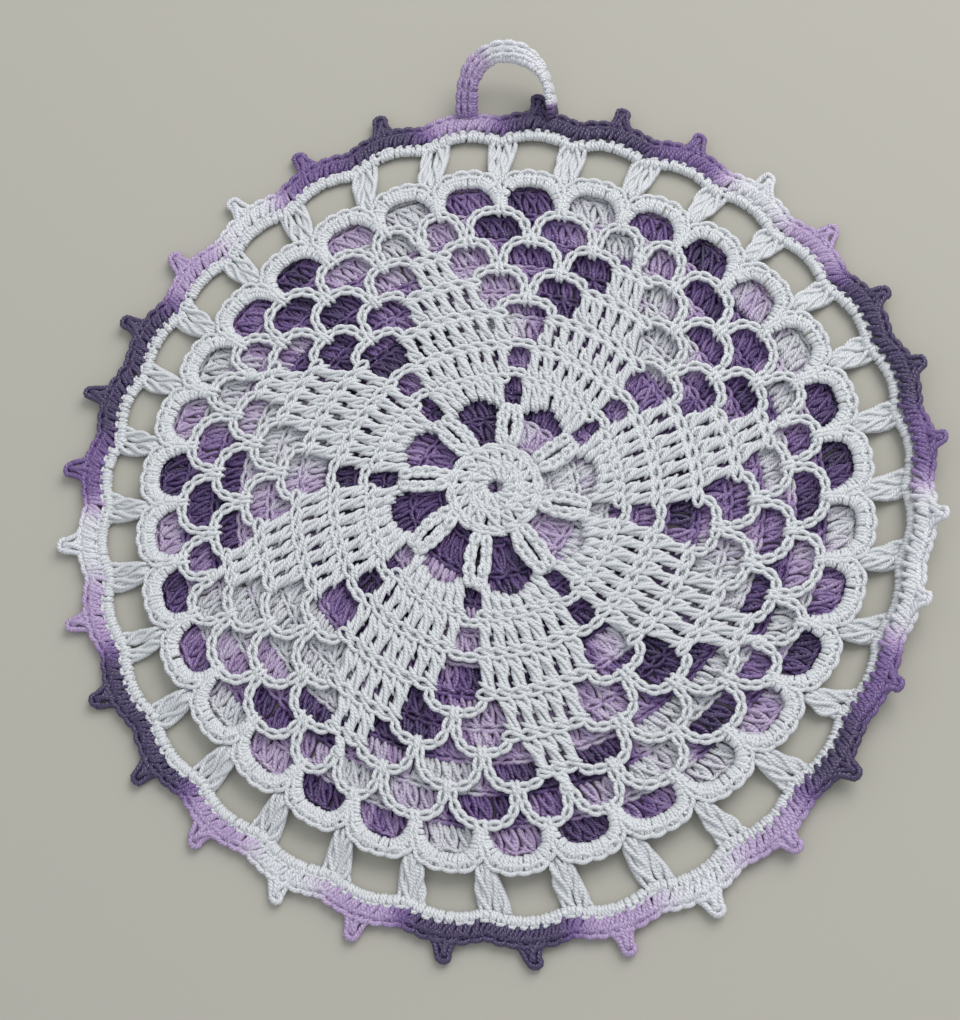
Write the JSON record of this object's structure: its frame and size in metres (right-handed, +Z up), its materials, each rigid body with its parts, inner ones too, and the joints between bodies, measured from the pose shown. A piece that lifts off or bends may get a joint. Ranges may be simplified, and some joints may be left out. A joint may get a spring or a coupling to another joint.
{
  "type": "crochet pot holder",
  "caption": "Round two-layer crochet pot holder: openwork doily face over a plain back, picot edging and a crocheted hanging ring.",
  "frame": {"origin": "centre of the back panel's underside, on the surface it lies on", "axes": "+Z up out of the open face, +Y towards the hanging ring, +X to the right seen from above"},
  "size_m": [0.1768, 0.1891, 0.0102],
  "materials": {
    "white_thread": "white cotton crochet thread with a soft sheen",
    "shaded_thread": "cotton crochet thread shaded from white through lilac to dark purple"
  },
  "bodies": {
    "root": {"back_panel": "shaded_thread", "front_panel": "white_thread", "edging": "shaded_thread", "hanging_ring": "shaded_thread"}
  },
  "joints": []
}
